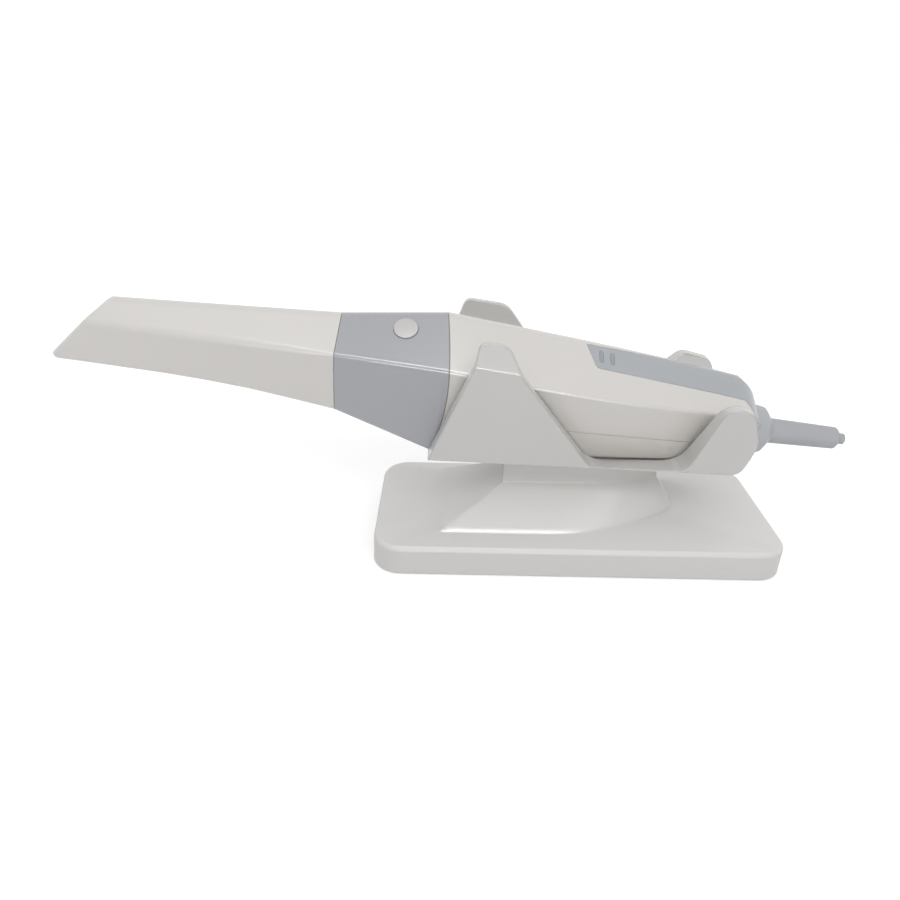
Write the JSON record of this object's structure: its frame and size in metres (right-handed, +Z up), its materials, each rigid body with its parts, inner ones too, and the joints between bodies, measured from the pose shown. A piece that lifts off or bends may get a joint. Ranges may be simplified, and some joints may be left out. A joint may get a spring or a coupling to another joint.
{
  "type": "intraoral scanner",
  "caption": "Handheld dental scanner with a faceted body, slanted mirror tip and rear strain relief, lying in a winged desk cradle on a low weighted base.",
  "frame": {"origin": "centre of the rubber pad under the base, where it stands", "axes": "+X from the scanning tip to the lead outlet, +Y away from the side with the indicator lamps, +Z up"},
  "size_m": [0.2949, 0.0644, 0.095],
  "materials": {
    "tip_white": "fine satin, autoclavable moulding",
    "mirror_silver": "front-silvered",
    "nose_grey": "satin",
    "clear_glass": "polished, coated",
    "black_anodised": "black anodised",
    "lens_glass": "coated",
    "board_green": "solder-masked laminate",
    "bare_aluminium": "extruded",
    "collar_grey": "satin",
    "button_grey": "silicone",
    "switch_black": "moulded",
    "cover_grey": "satin",
    "lamp_lens": "smoked",
    "housing_white": "satin",
    "screw_steel": "zinc plated",
    "socket_cream": "moulded",
    "gland_grey": "satin",
    "relief_rubber": "matt elastomer",
    "sleeve_rubber": "matt elastomer",
    "cradle_grey": "satin",
    "base_white": "satin",
    "cover_plate_grey": "moulded",
    "ballast_steel": "zinc plated",
    "pad_rubber": "non-slip"
  },
  "bodies": {
    "stand": {"optics_nose": "nose_grey", "nose_window": "clear_glass", "optical_chassis": "black_anodised", "projector_barrel": "black_anodised", "camera_barrels": "black_anodised", "barrel_lenses": "lens_glass", "sensor_board": "board_green", "heat_sink": "bare_aluminium", "collar": "collar_grey", "button_switch": "switch_black", "button_board": "board_green", "rear_cover": "cover_grey", "indicator_lamps": "lamp_lens", "upper_housing": "housing_white", "lower_housing": "housing_white", "housing_screws": "screw_steel", "main_board": "board_green", "cable_socket": "socket_cream", "cable_gland": "gland_grey", "strain_relief": "relief_rubber", "cable_sleeve": "sleeve_rubber", "cradle": "cradle_grey", "base_shell": "base_white", "cradle_screws": "screw_steel", "base_cover": "cover_plate_grey", "ballast_plate": "ballast_steel", "base_screws": "screw_steel", "base_pad": "pad_rubber"},
    "tip": {"tip_sleeve": "tip_white", "tip_mirror": "mirror_silver"},
    "button": {"scan_button": "button_grey"}
  },
  "joints": [
    {"name": "tip_pull", "type": "slide", "parent": "stand", "child": "tip", "axis": [-0.9945, 0, 0.1045], "range_m": [0, 0.05]},
    {"name": "button_press", "type": "slide", "parent": "stand", "child": "button", "axis": [0.0104, 0.5394, -0.842], "range_m": [0, 0.0005], "stiffness_N_per_m": 1500, "springref_m": -0.0005}
  ]
}
